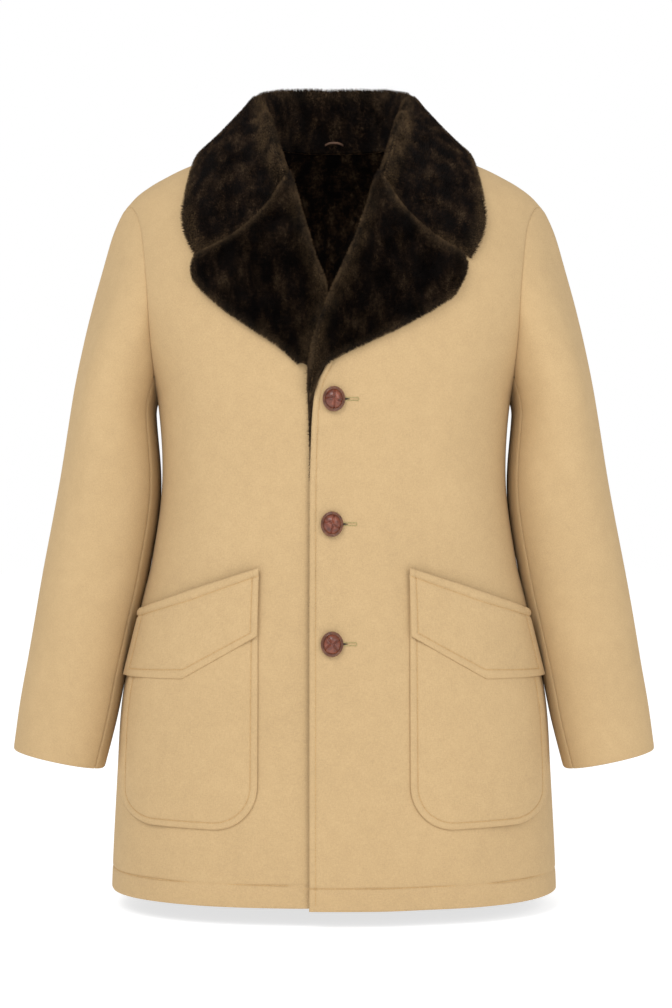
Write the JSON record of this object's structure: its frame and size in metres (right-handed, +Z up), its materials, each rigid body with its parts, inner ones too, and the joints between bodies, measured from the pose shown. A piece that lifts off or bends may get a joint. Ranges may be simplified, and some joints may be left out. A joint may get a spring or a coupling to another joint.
{
  "type": "overcoat",
  "caption": "Hip-length single-breasted wool overcoat, filled out as worn and hollow, with a dark pile notched collar and lapels, patch pockets with slanted flaps and domed leather buttons.",
  "frame": {"origin": "inside the neck, centred, level with the back neck seam, where the wearer's neck and shoulders hold the coat up", "axes": "+Z up towards the collar, -Y out of the fronts, +X towards the wearer's left sleeve, on the side of the front that laps over"},
  "size_m": [0.736, 0.3358, 0.9369],
  "materials": {
    "camel_wool": "felted wool coating with a short nap",
    "dark_pile": "dense clipped pile, soft sheen",
    "leather_button": "woven leather, half gloss",
    "loop_tape": "woven tape"
  },
  "bodies": {
    "root": {"front_left": "camel_wool", "front_right": "camel_wool", "back": "camel_wool", "sleeve_top_left": "camel_wool", "sleeve_under_left": "camel_wool", "sleeve_top_right": "camel_wool", "sleeve_under_right": "camel_wool", "lapel_left": "dark_pile", "lapel_right": "dark_pile", "collar": "dark_pile", "pocket_left": "camel_wool", "flap_left": "camel_wool", "pocket_right": "camel_wool", "flap_right": "camel_wool", "facing_left": "dark_pile", "neck_lining": "dark_pile", "button_top": "leather_button", "button_middle": "leather_button", "button_bottom": "leather_button", "hanger_loop": "loop_tape"}
  },
  "joints": []
}
